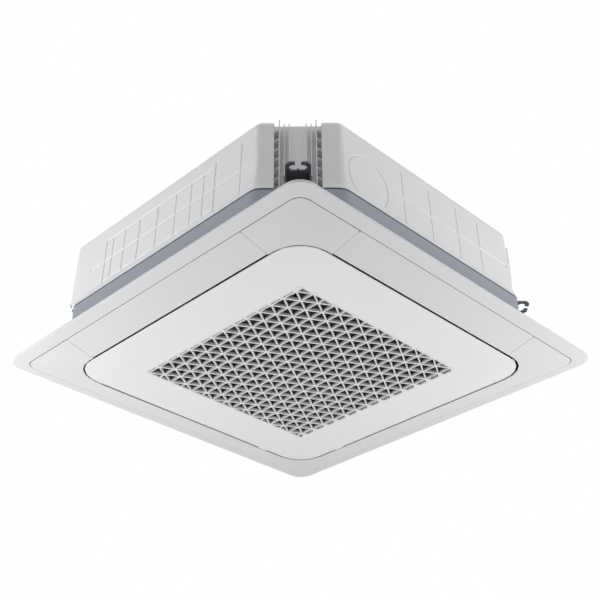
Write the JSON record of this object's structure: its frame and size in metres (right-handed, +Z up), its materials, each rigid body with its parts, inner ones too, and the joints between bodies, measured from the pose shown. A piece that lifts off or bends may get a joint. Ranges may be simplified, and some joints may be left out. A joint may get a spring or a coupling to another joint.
{
  "type": "ceiling cassette air conditioner",
  "caption": "Ceiling cassette air conditioner with a louver blade on each side, a hinged lattice intake grille, hanger brackets and a centrifugal fan inside a coil.",
  "frame": {"origin": "middle of the decoration panel on the ceiling's underside, where its flange seats", "axes": "+Z up into the ceiling; X and Y along the panel's sides, -X and -Y towards the viewer"},
  "size_m": [0.95, 0.95, 0.3185],
  "materials": {
    "panel_plastic": "satin",
    "casing_white": "satin",
    "band_steel": "satin",
    "bracket_steel": "satin",
    "zinc_steel": "satin",
    "foam_dark": "matte",
    "foam_white": "matte",
    "grey_plastic": "matte",
    "filter_net": "matte",
    "coil_fins": "satin",
    "copper": "satin",
    "nut_brass": "satin",
    "hose_grey": "matte",
    "board_green": "satin",
    "motor_paint": "satin",
    "black_rubber": "matte"
  },
  "bodies": {
    "root": {"panel_frame": "panel_plastic", "panel_screws": "zinc_steel", "panel_seal": "foam_dark", "grille_hinge_pins": "zinc_steel", "lower_casing": "band_steel", "upper_casing": "casing_white", "top_plate": "zinc_steel", "insulation_liner": "foam_dark", "drain_pan": "foam_white", "bracket_screws": "zinc_steel", "heat_exchanger": "coil_fins", "coil_end_plates": "zinc_steel", "coil_return_bends": "copper", "gas_header": "copper", "liquid_header": "copper", "gas_pipe": "copper", "liquid_pipe": "copper", "flare_nuts": "nut_brass", "pipe_cover_plate": "zinc_steel", "drain_pump": "grey_plastic", "pump_bracket": "zinc_steel", "drain_hose": "hose_grey", "drain_outlet": "hose_grey", "float_switch_body": "grey_plastic", "fan_motor": "motor_paint", "motor_mounts": "black_rubber", "bell_mouth": "grey_plastic", "bell_plate": "grey_plastic", "control_box": "zinc_steel", "control_cover": "zinc_steel", "circuit_board": "board_green", "terminal_block": "grey_plastic", "cable_grommet": "black_rubber", "louver_motor_left": "grey_plastic", "louver_motor_right": "grey_plastic", "louver_motor_far_right": "grey_plastic", "louver_motor_far_left": "grey_plastic", "corner_cap_near": "panel_plastic", "hanger_bracket_near": "bracket_steel", "corner_cap_right": "panel_plastic", "hanger_bracket_right": "bracket_steel", "corner_cap_far": "panel_plastic", "hanger_bracket_far": "bracket_steel", "corner_cap_left": "panel_plastic", "hanger_bracket_left": "bracket_steel"},
    "intake_grille": {"intake_grille_frame": "panel_plastic", "grille_lattice": "panel_plastic", "filter_frame": "grey_plastic", "filter_mesh": "filter_net"},
    "latch_near": {"grille_latch_near": "panel_plastic"},
    "latch_left": {"grille_latch_left": "panel_plastic"},
    "fan": {"fan_impeller": "grey_plastic", "fan_shroud": "grey_plastic", "motor_shaft": "zinc_steel", "fan_nut": "zinc_steel"},
    "float": {"float_ring": "foam_white"},
    "louver_left": {"louver_blade_left": "panel_plastic"},
    "louver_right": {"louver_blade_right": "panel_plastic"},
    "louver_far_right": {"louver_blade_far_right": "panel_plastic"},
    "louver_far_left": {"louver_blade_far_left": "panel_plastic"}
  },
  "joints": [
    {"name": "louver_left_swing", "type": "hinge", "parent": "root", "child": "louver_left", "pos_m": [-0.405, 0, -0.004], "axis": [0, -1, 0], "range_deg": [0, 50]},
    {"name": "louver_right_swing", "type": "hinge", "parent": "root", "child": "louver_right", "pos_m": [0, -0.405, -0.004], "axis": [1, 0, 0], "range_deg": [0, 50]},
    {"name": "louver_far_right_swing", "type": "hinge", "parent": "root", "child": "louver_far_right", "pos_m": [0.405, 0, -0.004], "axis": [0, 1, 0], "range_deg": [0, 50]},
    {"name": "louver_far_left_swing", "type": "hinge", "parent": "root", "child": "louver_far_left", "pos_m": [0, 0.405, -0.004], "axis": [-1, 0, 0], "range_deg": [0, 50]},
    {"name": "intake_grille_hinge", "type": "hinge", "parent": "root", "child": "intake_grille", "pos_m": [0.3615, 0, -0.025], "axis": [0, -1, 0], "range_deg": [0, 85]},
    {"name": "latch_near_slide", "type": "slide", "parent": "intake_grille", "child": "latch_near", "axis": [1, 0, 0], "range_m": [0, 0.006], "stiffness_N_per_m": 400, "springref_m": -0.002},
    {"name": "latch_left_slide", "type": "slide", "parent": "intake_grille", "child": "latch_left", "axis": [1, 0, 0], "range_m": [0, 0.006], "stiffness_N_per_m": 400, "springref_m": -0.002},
    {"name": "fan_spin", "type": "hinge", "parent": "root", "child": "fan", "pos_m": [0, 0, 0.15], "axis": [0, 0, 1], "continuous": true},
    {"name": "float_rise", "type": "slide", "parent": "root", "child": "float", "axis": [0, 0, 1], "range_m": [0, 0.008]}
  ]
}
